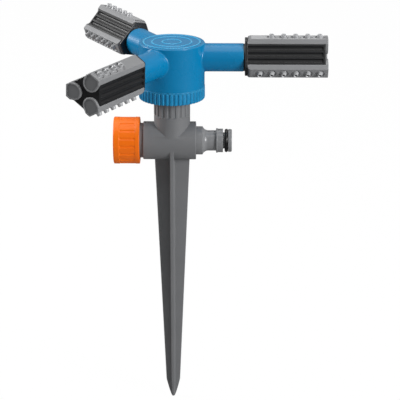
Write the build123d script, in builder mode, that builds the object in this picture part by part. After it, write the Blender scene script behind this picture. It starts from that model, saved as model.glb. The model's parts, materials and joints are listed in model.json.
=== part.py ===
from build123d import *
import math
import os

# Three-arm rotary spike sprinkler, in millimetres, +Z up.
# The origin is on the spin axis at the soil line, and +X runs along the hose nipple.
# Every bore, like every radius, is half the width of its hole.

# Clearances
push_fit = 0.05         # radial gap between pieces that stay together
running_fit = 0.05      # radial gap of a shaft that turns in its hole
running_gap = 0.1       # gap between faces that slide past each other
thread_fit = 0.08       # radial gap in the cap's thread

# Spike: four webs that taper down to a rounded point
spike_depth = 160.0     # tip below the soil line
spike_top_half = 12.4   # half the width across the webs at the tee axis
spike_low_half = 4.8    # the same where the point starts
spike_web_top = 2.8
spike_web_low = 2.2
web_edge_break = 0.35
point_length = 13.5
point_steps = 4
point_power = 0.75      # how full the point's outline is
tip_half = 0.75
tip_web = 1.0

# Tee: barrel along X, neck up, threaded outlet on the left
tee_height = 30.0       # barrel axis above the soil line
tee_radius = 12.9
tee_left = 19.5         # spin axis to the left shoulder
tee_right = 16.2        # spin axis to the right face
tee_bore = 6.0
barrel_edge_break = 0.4
neck_radius = 12.2
neck_height = 17.9      # above the barrel axis
riser_radius = 5.0      # water way up to the spindle
spindle_ledge = 8.0     # gasket seat above the barrel axis
outlet_relief_radius = 11.8
outlet_relief_length = 3.2
outlet_thread_radius = 13.2
outlet_length = 16.0
outlet_bore = 8.6
outlet_bore_depth = 18.0
outlet_lead = 1.0

# Hose nipple with its O-ring
nipple_tail_radius = 8.6
nipple_tail_length = 6.2
nipple_shoulder_radius = 9.6
nipple_shoulder_length = 4.4
nipple_cone_length = 3.9
nipple_neck_radius = 6.9
nipple_neck_length = 5.3
nipple_stop_radius = 8.3
nipple_stop_length = 1.1
nipple_flange_radius = 8.0
nipple_flange_length = 3.6
nipple_groove_radius = 5.5
nipple_groove_length = 3.5
nipple_land_radius = 7.7
nipple_land_length = 2.5
nipple_end_break = 0.7
nipple_bore = 4.2
nipple_ring_section = 1.2
nipple_ring_squeeze = 0.05

# Spindle: ribbed collar, tail in the neck, tube up into the head
collar_height = 11.6
collar_ribs = 20
rib_groove_radius = 1.1
rib_groove_depth = 0.55
rib_run_out = 0.9
spindle_gasket_thick = 1.0
spindle_tail_radius = 9.0
spindle_radius = 6.0
spindle_bore = 4.2
spindle_stub = 1.5      # tube above the nut
lower_washer_thick = 0.7
lower_washer_radius = 10.8

# Base ring, and what holds the head on the spindle
head_radius = 22.0
ring_radius = 22.2
ring_height = 8.7
ring_floor = 3.0
ring_edge_radius = 1.0
ring_grooves = 48
ring_groove_radius = 0.8
ring_groove_depth = 0.5
ring_groove_margin = 0.7
ring_spigot_radius = 19.8
ring_spigot_height = 6.4
ring_spigot_wall = 3.1
bush_radius = 8.0
boss_radius = 10.6
boss_height = 6.6
bush_flange_thick = 1.4
seal_thick = 1.2
seal_radius = 9.6
thrust_washer_thick = 0.8
thrust_washer_radius = 9.8
nut_flat_radius = 8.5
nut_height = 5.0
head_ring_section = 0.95
head_ring_height = 3.4  # above the base ring's shoulder

# Head shell with its arm tubes, and the disc in its top
head_top = 29.8         # above the base ring
head_wall = 2.4
head_roof = 2.0
head_top_radius = 0.6
skirt_relief = 0.6      # room above the base ring's spigot
arm_height = 19.2       # arm axis above the base ring
arm_reach = 48.0        # spin axis to the end of an arm tube
arm_radius = 9.45
arm_bore = 7.2
arm_end_wall = 3.4
arm_root_radius = 0.7
port_radius = 6.4       # middle of the curved port in the arm's end wall
port_width = 2.2
port_half_angle = 40.0
pivot_radius = 3.0
pivot_length = 9.2
barb_radius = 3.45
barb_land = 0.9
barb_taper = 1.1
barb_slope = 45.0
barb_split = 0.9
disc_radius = 19.6
disc_thick = 1.2
disc_rim_height = 0.5
disc_rim_width = 1.3
ripple_radii = (13.3, 6.3)
ripple_half_width = 0.8
ripple_height = 0.4
arm_seal_thick = 0.8
arm_seal_margin = 0.25

# Spray bars: fluted core, collar plate and three nozzle strips
plate_thick = 1.75
plate_inset = 1.3       # how far the plate's outline lies inside the strips
plate_hole_radius = 1.1
bar_length = 53.6
core_inradius = 10.1
core_face_half = 6.9
flute_width = 3.0
flute_depth = 1.1
flute_pitch = 4.2
flute_count = 3
flute_end = 1.6
pivot_play = 0.1
barb_pocket_radius = 3.6
strip_face_height = 14.3    # nozzle face above the bar's axis
strip_inradius = 10.6
strip_lip = 0.4
channel_height = 8.6        # channel axis above the bar's axis
channel_radius = 3.0
channel_wall = 1.2
channel_end_wall = 2.2
end_block_height = 8.4      # round middle of a strip's end block above the bar's axis
end_block_radius = 5.6
end_block_length = 1.6
strip_end_chamfer = 2.2
strip_end_drop = 1.6
nozzle_end_margin = 5.6     # outermost nozzle to the strip's outer end
nozzle_start_margin = 8.0   # innermost of a full row to the strip's inner end
dimple_radius = 3.1
dimple_depth = 0.7
stud_base_radius = 2.0
stud_tip_radius = 1.1
stud_height = 2.9
jet_radius = 0.65

# Cap on the series outlet
cap_radius = 15.95
cap_gap = 2.3           # bare outlet between the tee and the cap
cap_end_wall = 2.0
cap_band_radius = 15.8
cap_inner_rim = 2.8
cap_outer_rim = 3.9
cap_edge_radius = 0.8
cap_grooves = 18
cap_groove_radius = 1.4
cap_groove_depth = 0.45
gasket_thick = 2.0
gasket_hole = 9.0
gasket_play = 0.25

# Directions of the arms, turns of the bars on them at rest, and nozzles per strip
arm_directions = {"right": 0, "back": 120, "front": 240}
bar_turns = {"right": 4, "back": 12, "front": -32}
nozzle_counts = {"right": (5, 6, 4), "back": (5, 4, 6), "front": (4, 5, 6)}
full_row_count = 6
strip_count = 3
strip_step = 360 / strip_count

# Levels that follow from the sizes above
neck_top = tee_height + neck_height
collar_top = neck_top + collar_height
ring_bottom = collar_top + lower_washer_thick + running_gap
ring_top = ring_bottom + ring_height
boss_top = ring_bottom + boss_height
seal_bottom = boss_top + bush_flange_thick
washer_bottom = seal_bottom + seal_thick + running_gap
nut_bottom = washer_bottom + thrust_washer_thick
spindle_top = nut_bottom + nut_height + spindle_stub
shell_top = ring_top + head_top
arm_level = ring_top + arm_height
disc_bottom = shell_top - disc_thick
chamber_radius = head_radius - head_wall
skirt_bore = ring_spigot_radius + push_fit
plate_start = arm_reach + arm_seal_thick + running_fit
bar_start = plate_start + plate_thick
nozzle_pitch = (bar_length - nozzle_end_margin - nozzle_start_margin) / (full_row_count - 1)
cap_open_end = -tee_left - cap_gap
outlet_end = -tee_left - outlet_length
gasket_face = outlet_end - gasket_thick
cap_end = gasket_face - cap_end_wall

tee_axis = Axis((0, 0, tee_height), (1, 0, 0))
corner_cos = math.cos(math.radians(strip_step / 2))
corner_sin = math.sin(math.radians(strip_step / 2))

os.makedirs("parts", exist_ok=True)


def cross_plane(distance):
    # Square to the barrel, at a distance along X
    return Plane(origin=(distance, 0, tee_height), x_dir=(0, 1, 0), z_dir=(1, 0, 0))


def bar_plane(direction, turn, distance):
    # Square to an arm, with its first direction towards a corner of the bar
    outward = Vector(1, 0, 0).rotate(Axis.Z, direction)
    corner = Vector(0, 0, 1).rotate(Axis((0, 0, 0), outward), turn)
    return Plane(origin=Vector(0, 0, arm_level) + outward * distance, x_dir=corner, z_dir=outward)


def finish(piece, name):
    piece.part.label = name
    export_step(piece.part, f"parts/{name}.step")


def spike_half(height):
    # Half the width across the webs, straight down to the point and then curving in
    shoulder = point_length - spike_depth
    if height > shoulder:
        share = (tee_height - height) / (tee_height - shoulder)
        return spike_top_half + (spike_low_half - spike_top_half) * share
    share = (height + spike_depth) / point_length
    return tip_half + (spike_low_half - tip_half) * share ** point_power


def web_section(height, half, web):
    with BuildSketch(Plane.XY.offset(height)) as section:
        Rectangle(2 * half, web)
        Rectangle(web, 2 * half)
        outer_corners = section.vertices().filter_by(lambda corner: Vector(corner.X, corner.Y).length > web)
        chamfer(outer_corners, length=web_edge_break)
    return section.sketch


# Tee and spike
spike_sections = [web_section(tee_height, spike_half(tee_height), spike_web_top)]
for step in range(point_steps + 1):
    left = 1 - step / point_steps
    level = left * point_length - spike_depth
    spike_sections.append(web_section(level, spike_half(level), tip_web + (spike_web_low - tip_web) * left))
with BuildPart() as spike_body:
    loft(spike_sections, ruled=True)
    with BuildSketch(Plane.XZ):
        with BuildLine():
            Polyline(
                (outlet_end, tee_height),
                (outlet_end, tee_height + outlet_thread_radius - outlet_lead),
                (outlet_end + outlet_lead, tee_height + outlet_thread_radius),
                (-tee_left - outlet_relief_length, tee_height + outlet_thread_radius),
                (-tee_left - outlet_relief_length, tee_height + outlet_relief_radius),
                (-tee_left, tee_height + outlet_relief_radius),
                (-tee_left, tee_height + tee_radius - barrel_edge_break),
                (-tee_left + barrel_edge_break, tee_height + tee_radius),
                (tee_right - barrel_edge_break, tee_height + tee_radius),
                (tee_right, tee_height + tee_radius - barrel_edge_break),
                (tee_right, tee_height),
                close=True,
            )
        make_face()
    revolve(axis=tee_axis)
    with BuildSketch(Plane.XY.offset(tee_height)):
        Circle(neck_radius)
    extrude(amount=neck_height)
    # Water ways: along the barrel, wider in the outlet and for the nipple's tail, and up the neck
    with BuildSketch(cross_plane(outlet_end)):
        Circle(outlet_bore)
    extrude(amount=outlet_bore_depth, mode=Mode.SUBTRACT)
    with BuildSketch(cross_plane(outlet_end)):
        Circle(tee_bore)
    extrude(amount=tee_right - outlet_end, mode=Mode.SUBTRACT)
    with BuildSketch(cross_plane(tee_right)):
        Circle(nipple_tail_radius)
    extrude(amount=-nipple_tail_length, mode=Mode.SUBTRACT)
    with BuildSketch(Plane.XY.offset(tee_height)):
        Circle(riser_radius)
    extrude(amount=neck_height, mode=Mode.SUBTRACT)
    with BuildSketch(Plane.XY.offset(tee_height + spindle_ledge)):
        Circle(spindle_tail_radius)
    extrude(amount=neck_height - spindle_ledge, mode=Mode.SUBTRACT)
finish(spike_body, "spike_body")

# Hose nipple: welded tail, shoulder, waist, flange, ring groove and end land
shoulder_end = tee_right + nipple_shoulder_length
waist_start = shoulder_end + nipple_cone_length
stop_start = waist_start + nipple_neck_length
flange_start = stop_start + nipple_stop_length
groove_start = flange_start + nipple_flange_length
land_start = groove_start + nipple_groove_length
nipple_end = land_start + nipple_land_length
with BuildPart() as inlet_nipple:
    with BuildSketch(Plane.XZ):
        with BuildLine():
            waist = (waist_start, tee_height + nipple_neck_radius)
            shoulder = (shoulder_end, tee_height + nipple_shoulder_radius)
            TangentArc(waist, shoulder, tangent=(-1, 0))
            Polyline(
                shoulder,
                (tee_right, tee_height + nipple_shoulder_radius),
                (tee_right, tee_height + nipple_tail_radius - push_fit),
                (tee_right - nipple_tail_length, tee_height + nipple_tail_radius - push_fit),
                (tee_right - nipple_tail_length, tee_height + nipple_bore),
                (nipple_end, tee_height + nipple_bore),
                (nipple_end, tee_height + nipple_land_radius - nipple_end_break),
                (nipple_end - nipple_end_break, tee_height + nipple_land_radius),
                (land_start, tee_height + nipple_land_radius),
                (land_start, tee_height + nipple_groove_radius),
                (groove_start, tee_height + nipple_groove_radius),
                (groove_start, tee_height + nipple_flange_radius),
                (flange_start, tee_height + nipple_flange_radius),
                (flange_start, tee_height + nipple_stop_radius),
                (stop_start, tee_height + nipple_stop_radius),
                (stop_start, tee_height + nipple_neck_radius),
                waist,
            )
        make_face()
    revolve(axis=tee_axis)
finish(inlet_nipple, "inlet_nipple")

with BuildPart() as nipple_o_ring:
    ring_line = land_start - nipple_ring_section - nipple_ring_squeeze
    ring_centre = tee_height + nipple_groove_radius + nipple_ring_section + nipple_ring_squeeze
    with BuildSketch(Plane.XZ):
        with Locations((ring_line, ring_centre)):
            Circle(nipple_ring_section)
    revolve(axis=tee_axis)
finish(nipple_o_ring, "nipple_o_ring")


def washer(bottom, thickness, outer, inner):
    with BuildPart() as disc:
        with BuildSketch(Plane.XY.offset(bottom)):
            Circle(outer)
            Circle(inner, mode=Mode.SUBTRACT)
        extrude(amount=thickness)
    return disc


# Spindle with its gasket, washers and nut
ledge_level = tee_height + spindle_ledge
spindle_gasket = washer(ledge_level, spindle_gasket_thick, spindle_tail_radius - push_fit, riser_radius)
finish(spindle_gasket, "spindle_gasket")

with BuildPart() as spindle:
    with BuildSketch(Plane.XZ):
        with BuildLine():
            Polyline(
                (spindle_bore, ledge_level + spindle_gasket_thick),
                (spindle_tail_radius - push_fit, ledge_level + spindle_gasket_thick),
                (spindle_tail_radius - push_fit, neck_top),
                (neck_radius, neck_top),
                (neck_radius, collar_top),
                (spindle_radius, collar_top),
                (spindle_radius, spindle_top),
                (spindle_bore, spindle_top),
                close=True,
            )
        make_face()
    revolve(axis=Axis.Z)
    with BuildSketch(Plane.XY.offset(neck_top + rib_run_out)):
        with PolarLocations(neck_radius - rib_groove_depth + rib_groove_radius, collar_ribs):
            Circle(rib_groove_radius)
    extrude(amount=collar_height, mode=Mode.SUBTRACT)
finish(spindle, "spindle")

lower_washer = washer(collar_top, lower_washer_thick, lower_washer_radius, spindle_radius + running_fit)
finish(lower_washer, "lower_washer")

thrust_washer = washer(washer_bottom, thrust_washer_thick, thrust_washer_radius, spindle_radius + push_fit)
finish(thrust_washer, "thrust_washer")

with BuildPart() as spindle_nut:
    with BuildSketch(Plane.XY.offset(nut_bottom)):
        RegularPolygon(nut_flat_radius, 6, major_radius=False)
        Circle(spindle_radius + push_fit, mode=Mode.SUBTRACT)
    extrude(amount=nut_height)
finish(spindle_nut, "spindle_nut")

# Base ring: knurled outside, spigot up into the shell, boss for the bush
ring_wall_inside = ring_spigot_radius - ring_spigot_wall
head_ring_level = ring_top + head_ring_height
ring_groove_floor = skirt_bore - 2 * head_ring_section
with BuildPart() as base_ring:
    with BuildSketch(Plane.XZ):
        with BuildLine():
            Polyline(
                (bush_radius, ring_bottom),
                (ring_radius, ring_bottom),
                (ring_radius, ring_top),
                (ring_spigot_radius, ring_top),
                (ring_spigot_radius, ring_top + ring_spigot_height),
                (ring_wall_inside, ring_top + ring_spigot_height),
                (ring_wall_inside, ring_bottom + ring_floor),
                (boss_radius, ring_bottom + ring_floor),
                (boss_radius, boss_top),
                (bush_radius, boss_top),
                close=True,
            )
        make_face()
    revolve(axis=Axis.Z)
    with BuildSketch(Plane.XZ):
        with Locations((ring_spigot_radius, head_ring_level)):
            Rectangle(2 * (ring_spigot_radius - ring_groove_floor), 2 * head_ring_section + 2 * running_gap)
    revolve(axis=Axis.Z, mode=Mode.SUBTRACT)
    lower_edge = base_ring.edges().filter_by(GeomType.CIRCLE).group_by(Axis.Z)[0].sort_by(SortBy.RADIUS)[-1]
    fillet(lower_edge, radius=ring_edge_radius)
    with BuildSketch(Plane.XY.offset(ring_bottom)):
        with PolarLocations(ring_radius - ring_groove_depth + ring_groove_radius, ring_grooves):
            Circle(ring_groove_radius)
    extrude(amount=ring_height - ring_groove_margin, mode=Mode.SUBTRACT)
finish(base_ring, "base_ring")

with BuildPart() as head_o_ring:
    with BuildSketch(Plane.XZ):
        with Locations((ring_groove_floor + head_ring_section, head_ring_level)):
            Circle(head_ring_section - push_fit)
    revolve(axis=Axis.Z)
finish(head_o_ring, "head_o_ring")

with BuildPart() as spindle_bush:
    with BuildSketch(Plane.XZ):
        with BuildLine():
            Polyline(
                (spindle_radius + running_fit, ring_bottom),
                (bush_radius - push_fit, ring_bottom),
                (bush_radius - push_fit, boss_top),
                (boss_radius, boss_top),
                (boss_radius, seal_bottom),
                (spindle_radius + running_fit, seal_bottom),
                close=True,
            )
        make_face()
    revolve(axis=Axis.Z)
finish(spindle_bush, "spindle_bush")

spindle_seal = washer(seal_bottom, seal_thick, seal_radius, spindle_radius + running_fit)
finish(spindle_seal, "spindle_seal")


def curved_port(plane):
    # Port that follows a circle round the arm's axis, centred on the plane's first direction
    with BuildSketch(plane) as port:
        with BuildLine(mode=Mode.PRIVATE) as middle:
            CenterArc((0, 0), port_radius, -port_half_angle, 2 * port_half_angle)
        SlotArc(middle.wire(), port_width)
    return port.sketch


# Head shell: drum with three arm tubes, each ended by a wall with a port and a barbed pivot
with BuildPart() as head_shell:
    with BuildSketch(Plane.XY.offset(ring_top)):
        Circle(head_radius)
    extrude(amount=head_top)
    for direction in arm_directions.values():
        with BuildSketch(bar_plane(direction, 0, disc_radius)):
            Circle(arm_radius)
        extrude(amount=arm_reach - disc_radius)
    tube_roots = head_shell.edges().filter_by(GeomType.BSPLINE)
    fillet(tube_roots, radius=arm_root_radius)
    top_edge = head_shell.edges().filter_by(GeomType.CIRCLE).group_by(Axis.Z)[-1]
    fillet(top_edge, radius=head_top_radius)
    with BuildSketch(Plane.XY.offset(ring_top)):
        Circle(chamber_radius)
    extrude(amount=head_top - disc_thick - head_roof, mode=Mode.SUBTRACT)
    with BuildSketch(Plane.XY.offset(ring_top)):
        Circle(skirt_bore)
    extrude(amount=ring_spigot_height + skirt_relief, mode=Mode.SUBTRACT)
    with BuildSketch(Plane.XY.offset(disc_bottom)):
        Circle(disc_radius + push_fit)
    extrude(amount=disc_thick, mode=Mode.SUBTRACT)
    for direction in arm_directions.values():
        with BuildSketch(bar_plane(direction, 0, chamber_radius / 2)):
            Circle(arm_bore)
        extrude(amount=arm_reach - arm_end_wall - chamber_radius / 2, mode=Mode.SUBTRACT)
        port = curved_port(bar_plane(direction, 0, arm_reach))
        extrude(port, amount=-arm_end_wall, mode=Mode.SUBTRACT)
        barb_start = pivot_length - barb_land - barb_taper
        with BuildSketch(bar_plane(direction, 0, arm_reach)):
            Circle(pivot_radius)
        extrude(amount=barb_start)
        with BuildSketch(bar_plane(direction, 0, arm_reach + barb_start)):
            Circle(barb_radius)
        extrude(amount=barb_land)
        with BuildSketch(bar_plane(direction, 0, arm_reach + barb_start + barb_land)):
            Circle(barb_radius)
        extrude(amount=barb_taper, taper=barb_slope)
        with BuildSketch(bar_plane(direction, 0, arm_reach + pivot_length)):
            Rectangle(2 * barb_radius, barb_split)
        extrude(amount=arm_seal_thick - pivot_length, mode=Mode.SUBTRACT)
finish(head_shell, "head_shell")

# Disc in the head's top, with a raised rim and two raised rings
with BuildPart() as top_disc:
    with BuildSketch(Plane.XY.offset(disc_bottom)):
        Circle(disc_radius)
    extrude(amount=disc_thick)
    with BuildSketch(Plane.XZ):
        for radius in ripple_radii:
            with Locations((radius, shell_top)):
                Ellipse(ripple_half_width, ripple_height)
        with Locations((disc_radius - disc_rim_width / 2, shell_top)):
            Ellipse(disc_rim_width / 2, disc_rim_height)
    revolve(axis=Axis.Z)
finish(top_disc, "top_disc")


def arm_seal(direction):
    with BuildPart() as seal:
        with BuildSketch(bar_plane(direction, 0, arm_reach)):
            Circle(arm_radius - arm_seal_margin)
            Circle(pivot_radius + push_fit, mode=Mode.SUBTRACT)
        extrude(amount=arm_seal_thick)
        port = curved_port(bar_plane(direction, 0, arm_reach))
        extrude(port, amount=arm_seal_thick, mode=Mode.SUBTRACT)
    return seal


def face_corner(inradius, along):
    # Point of a flank: its distance from the bar's axis, and how far along it towards the corner
    return (
        inradius * corner_cos + along * corner_sin,
        inradius * corner_sin - along * corner_cos,
    )


def strip_outline(plane, gap=0.0):
    # A round channel body under a flat nozzle face, with two flanks that lie over the core
    flank_top = face_corner(strip_inradius, core_face_half - gap)
    flank_low = face_corner(core_inradius - strip_lip - gap, core_face_half - gap)
    face_half = (strip_inradius - strip_face_height * corner_cos) / corner_sin
    side = channel_radius + channel_wall + gap
    half = [
        (channel_height, side),
        (flank_low[0], side),
        flank_low,
        flank_top,
        (strip_face_height, face_half),
    ]
    mirrored = [(height, -across) for height, across in reversed(half)]
    with BuildSketch(plane) as outline:
        with BuildLine():
            Polyline(*half, *mirrored)
            ThreePointArc((channel_height, -side), (channel_height - side, 0), (channel_height, side))
        make_face()
    return outline.sketch


def end_block(plane):
    # Outline of a strip's end, round towards the bar's axis and as wide as the strip's flanks
    with BuildSketch(plane) as outline:
        with Locations((end_block_height, 0)):
            Circle(end_block_radius)
            rise = face_corner(strip_inradius, core_face_half)[0] - end_block_height
            Rectangle(rise, 2 * end_block_radius, align=(Align.MIN, Align.CENTER))
    return outline.sketch


def blunt_triangle(plane, flank, corner):
    # Triangle with its corners cut square, at two distances from the bar's axis
    with BuildSketch(plane) as outline:
        RegularPolygon(flank, strip_count, major_radius=False)
        RegularPolygon(
            corner, strip_count, major_radius=False, rotation=strip_step / 2, mode=Mode.INTERSECT
        )
    return outline.sketch


def bar_core(direction, turn):
    # Three-cornered body with a slot for each strip, fluted flanks and a bore for the pivot
    length = bar_length - end_block_length - push_fit
    start = bar_plane(direction, turn, bar_start)
    with BuildPart() as core:
        extrude(blunt_triangle(start, core_inradius, channel_height + channel_radius), amount=length)
        for corner in range(strip_count):
            slot = strip_outline(bar_plane(direction, turn + corner * strip_step, bar_start), push_fit)
            extrude(slot, amount=length, mode=Mode.SUBTRACT)
        for flank in range(strip_count):
            with BuildSketch(bar_plane(direction, turn + (flank + 0.5) * strip_step, bar_start)):
                with Locations((core_inradius, 0)):
                    with GridLocations(0, flute_pitch, 1, flute_count):
                        Rectangle(2 * flute_depth, flute_width)
            extrude(amount=length - flute_end, mode=Mode.SUBTRACT)
        shoulder_depth = pivot_length - barb_land - barb_taper - (bar_start - arm_reach) - pivot_play
        with BuildSketch(start):
            Circle(pivot_radius + running_fit)
        extrude(amount=shoulder_depth, mode=Mode.SUBTRACT)
        with BuildSketch(start.offset(shoulder_depth)):
            Circle(barb_pocket_radius)
        extrude(amount=barb_land + barb_taper + 2 * pivot_play, mode=Mode.SUBTRACT)
    return core


def bar_plate(direction, turn):
    # Collar plate between the arm and the bar, with a water hole for each strip
    with BuildPart() as plate:
        start = bar_plane(direction, turn, plate_start)
        outline = blunt_triangle(start, strip_inradius - plate_inset / 2, strip_face_height - plate_inset)
        extrude(outline, amount=plate_thick)
        with BuildSketch(start):
            Circle(pivot_radius + running_fit)
            with PolarLocations(port_radius, strip_count):
                Circle(plate_hole_radius)
        extrude(amount=plate_thick, mode=Mode.SUBTRACT)
    return plate


def nozzle_strip(direction, turn, count):
    # Strip with a blind water channel and a row of nozzles counted from its outer end
    start = bar_plane(direction, turn, bar_start)
    with BuildPart() as strip:
        extrude(strip_outline(start), amount=bar_length)
        inner_edge = strip.edges().sort_by_distance(start.from_local_coords((strip_face_height, 0, 0)))[0]
        inner_face = strip.faces().sort_by_distance(start.from_local_coords((strip_inradius, 0, 0)))[0]
        chamfer(inner_edge, length=strip_end_drop, length2=strip_end_chamfer, reference=inner_face)
        extrude(end_block(start.offset(bar_length)), amount=-end_block_length)
        with BuildSketch(start):
            with Locations((channel_height, 0)):
                Circle(channel_radius)
        extrude(amount=bar_length - channel_end_wall, mode=Mode.SUBTRACT)
        last = bar_length - nozzle_end_margin
        stations = [(last - step * nozzle_pitch, 0) for step in range(count)]
        face = Plane(
            origin=start.from_local_coords((strip_face_height, 0, 0)), x_dir=start.z_dir, z_dir=start.x_dir
        )
        floor = face.offset(-dimple_depth)
        with BuildSketch(face):
            with Locations(*stations):
                Circle(dimple_radius)
        extrude(amount=-dimple_depth, mode=Mode.SUBTRACT)
        with BuildSketch(floor):
            with Locations(*stations):
                Circle(stud_base_radius)
        stud_slope = math.degrees(math.atan((stud_base_radius - stud_tip_radius) / stud_height))
        extrude(amount=stud_height, taper=stud_slope)
        with BuildSketch(floor.offset(stud_height)):
            with Locations(*stations):
                Circle(jet_radius)
        jet_depth = strip_face_height - dimple_depth + stud_height - channel_height
        extrude(amount=-jet_depth, mode=Mode.SUBTRACT)
    return strip


for side, direction in arm_directions.items():
    turn = bar_turns[side]
    finish(arm_seal(direction), f"{side}_arm_seal")
    finish(bar_plate(direction, turn), f"{side}_bar_plate")
    finish(bar_core(direction, turn), f"{side}_bar_core")
    for corner, count in enumerate(nozzle_counts[side]):
        strip = nozzle_strip(direction, turn + corner * strip_step, count)
        finish(strip, f"{side}_strip_{count}")

# Cap and its gasket on the series outlet
cap_bore = outlet_thread_radius + thread_fit
with BuildPart() as end_cap:
    with BuildSketch(Plane.XZ):
        with BuildLine():
            Polyline(
                (cap_end, tee_height),
                (cap_end, tee_height + cap_radius),
                (cap_end + cap_outer_rim, tee_height + cap_radius),
                (cap_end + cap_outer_rim, tee_height + cap_band_radius),
                (cap_open_end - cap_inner_rim, tee_height + cap_band_radius),
                (cap_open_end - cap_inner_rim, tee_height + cap_radius),
                (cap_open_end, tee_height + cap_radius),
                (cap_open_end, tee_height + cap_bore),
                (gasket_face, tee_height + cap_bore),
                (gasket_face, tee_height),
                close=True,
            )
        make_face()
    revolve(axis=tee_axis)
    end_edge = end_cap.edges().filter_by(GeomType.CIRCLE).group_by(Axis.X)[0]
    fillet(end_edge, radius=cap_edge_radius)
    with BuildSketch(cross_plane(cap_end + cap_outer_rim)):
        with PolarLocations(cap_band_radius - cap_groove_depth + cap_groove_radius, cap_grooves):
            Circle(cap_groove_radius)
    extrude(amount=cap_open_end - cap_inner_rim - cap_end - cap_outer_rim, mode=Mode.SUBTRACT)
finish(end_cap, "end_cap")

with BuildPart() as cap_gasket:
    with BuildSketch(cross_plane(gasket_face)):
        Circle(cap_bore - gasket_play)
        Circle(gasket_hole, mode=Mode.SUBTRACT)
    extrude(amount=gasket_thick)
finish(cap_gasket, "cap_gasket")
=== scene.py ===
import json
import math

import bmesh
import bpy
from mathutils import Matrix, Vector


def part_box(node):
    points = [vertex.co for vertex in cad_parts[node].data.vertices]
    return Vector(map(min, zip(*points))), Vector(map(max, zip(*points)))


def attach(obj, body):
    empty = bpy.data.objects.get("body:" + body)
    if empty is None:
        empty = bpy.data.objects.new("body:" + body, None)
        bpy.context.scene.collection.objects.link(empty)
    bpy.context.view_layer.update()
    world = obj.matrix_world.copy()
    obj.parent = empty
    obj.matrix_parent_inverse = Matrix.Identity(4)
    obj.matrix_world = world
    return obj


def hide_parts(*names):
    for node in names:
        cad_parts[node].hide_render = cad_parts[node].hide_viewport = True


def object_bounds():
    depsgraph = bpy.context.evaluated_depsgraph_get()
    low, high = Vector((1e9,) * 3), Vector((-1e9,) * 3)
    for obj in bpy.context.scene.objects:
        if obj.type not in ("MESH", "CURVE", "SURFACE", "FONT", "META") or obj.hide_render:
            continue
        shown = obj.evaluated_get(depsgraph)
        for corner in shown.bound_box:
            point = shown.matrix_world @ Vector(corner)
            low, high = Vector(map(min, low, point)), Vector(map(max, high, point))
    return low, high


# Three-arm rotary spike sprinkler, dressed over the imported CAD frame.
# Sizes are in millimetres and turned into metres when a mesh is placed.
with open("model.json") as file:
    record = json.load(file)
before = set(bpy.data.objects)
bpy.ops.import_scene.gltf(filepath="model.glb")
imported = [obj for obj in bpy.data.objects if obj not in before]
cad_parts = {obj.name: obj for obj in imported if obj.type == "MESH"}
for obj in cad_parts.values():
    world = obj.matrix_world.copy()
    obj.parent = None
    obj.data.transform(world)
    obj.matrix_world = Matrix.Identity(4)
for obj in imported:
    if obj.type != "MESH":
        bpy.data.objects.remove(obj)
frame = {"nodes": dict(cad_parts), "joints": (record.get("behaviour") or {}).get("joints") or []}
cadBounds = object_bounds()
print("frame loaded")

mm = 0.001
up = Vector((0, 0, 1))
joints = {joint["name"]: joint for joint in frame["joints"]}
sides = ("right", "back", "front")


def low(node):
    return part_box(node)[0] / mm


def high(node):
    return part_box(node)[1] / mm


def srgb(red, green, blue):
    # Eight-bit screen colour to the linear values that shaders take
    def linear(value):
        value /= 255
        return value / 12.92 if value <= 0.04045 else ((value + 0.055) / 1.055) ** 2.4

    return (linear(red), linear(green), linear(blue), 1.0)


def axisFrame(origin, along, across):
    # Local Z runs along the given axis and local X points across it, in millimetres
    zAxis = Vector(along).normalized()
    xAxis = (Vector(across) - zAxis * zAxis.dot(Vector(across))).normalized()
    yAxis = zAxis.cross(xAxis)
    turn = Matrix((xAxis, yAxis, zAxis)).transposed().to_4x4()
    return Matrix.Translation(Vector(origin)) @ turn


verticalFrame = Matrix.Identity(4)
teeCentre = Vector((0, 0, high("inlet_nipple").z + low("inlet_nipple").z)) / 2
barrelFrame = axisFrame(teeCentre, (1, 0, 0), (0, 0, 1))


# Node-tree helpers

socketTypes = {float: "Float", int: "Int", tuple: "Vector"}


def addNode(tree, kind, place, inputs=None, **settings):
    node = tree.nodes.new(kind)
    node.location = (place[0] * 190, place[1] * -170)
    for name, value in settings.items():
        setattr(node, name, value)
    setInputs(node, inputs or {})
    return node


def setInputs(node, values):
    for name, value in values.items():
        node.inputs[name].default_value = value


def feed(value, target, socket):
    target.id_data.links.new(value, target.inputs[socket])


def link(source, output, target, socket):
    feed(source.outputs[output], target, socket)


def newGroup(name, kind, inputs, outputs):
    # Each input has its default value, or its kind of socket where it has no default
    tree = bpy.data.node_groups.new(name, kind)
    for label, value in inputs.items():
        bare = isinstance(value, str)
        socketType = value if bare else socketTypes[type(value)]
        socket = tree.interface.new_socket(label, in_out="INPUT", socket_type="NodeSocket" + socketType)
        if not bare:
            socket.default_value = value
    for label, socketType in outputs.items():
        tree.interface.new_socket(label, in_out="OUTPUT", socket_type="NodeSocket" + socketType)
    return tree, addNode(tree, "NodeGroupInput", (-4, 0)), addNode(tree, "NodeGroupOutput", (6, 0))


# Shader groups that the plastics share

def makeMouldGrain():
    # Fine spark-eroded grain of a mould, with a slower drift under it
    tree, given, out = newGroup(
        "mouldGrain", "ShaderNodeTree",
        {"Vector": "Vector", "Grain per metre": 2600.0, "Drift per metre": 60.0},
        {"Height": "Float", "Drift": "Float"},
    )
    grain = addNode(tree, "ShaderNodeTexNoise", (0, 0), {"Detail": 2.0, "Roughness": 0.55})
    drift = addNode(tree, "ShaderNodeTexNoise", (0, 2), {"Detail": 3.0, "Roughness": 0.5})
    for node, rate in ((grain, "Grain per metre"), (drift, "Drift per metre")):
        link(given, "Vector", node, "Vector")
        link(given, rate, node, "Scale")
    link(grain, "Fac", out, "Height")
    link(drift, "Fac", out, "Drift")
    return tree


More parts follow.
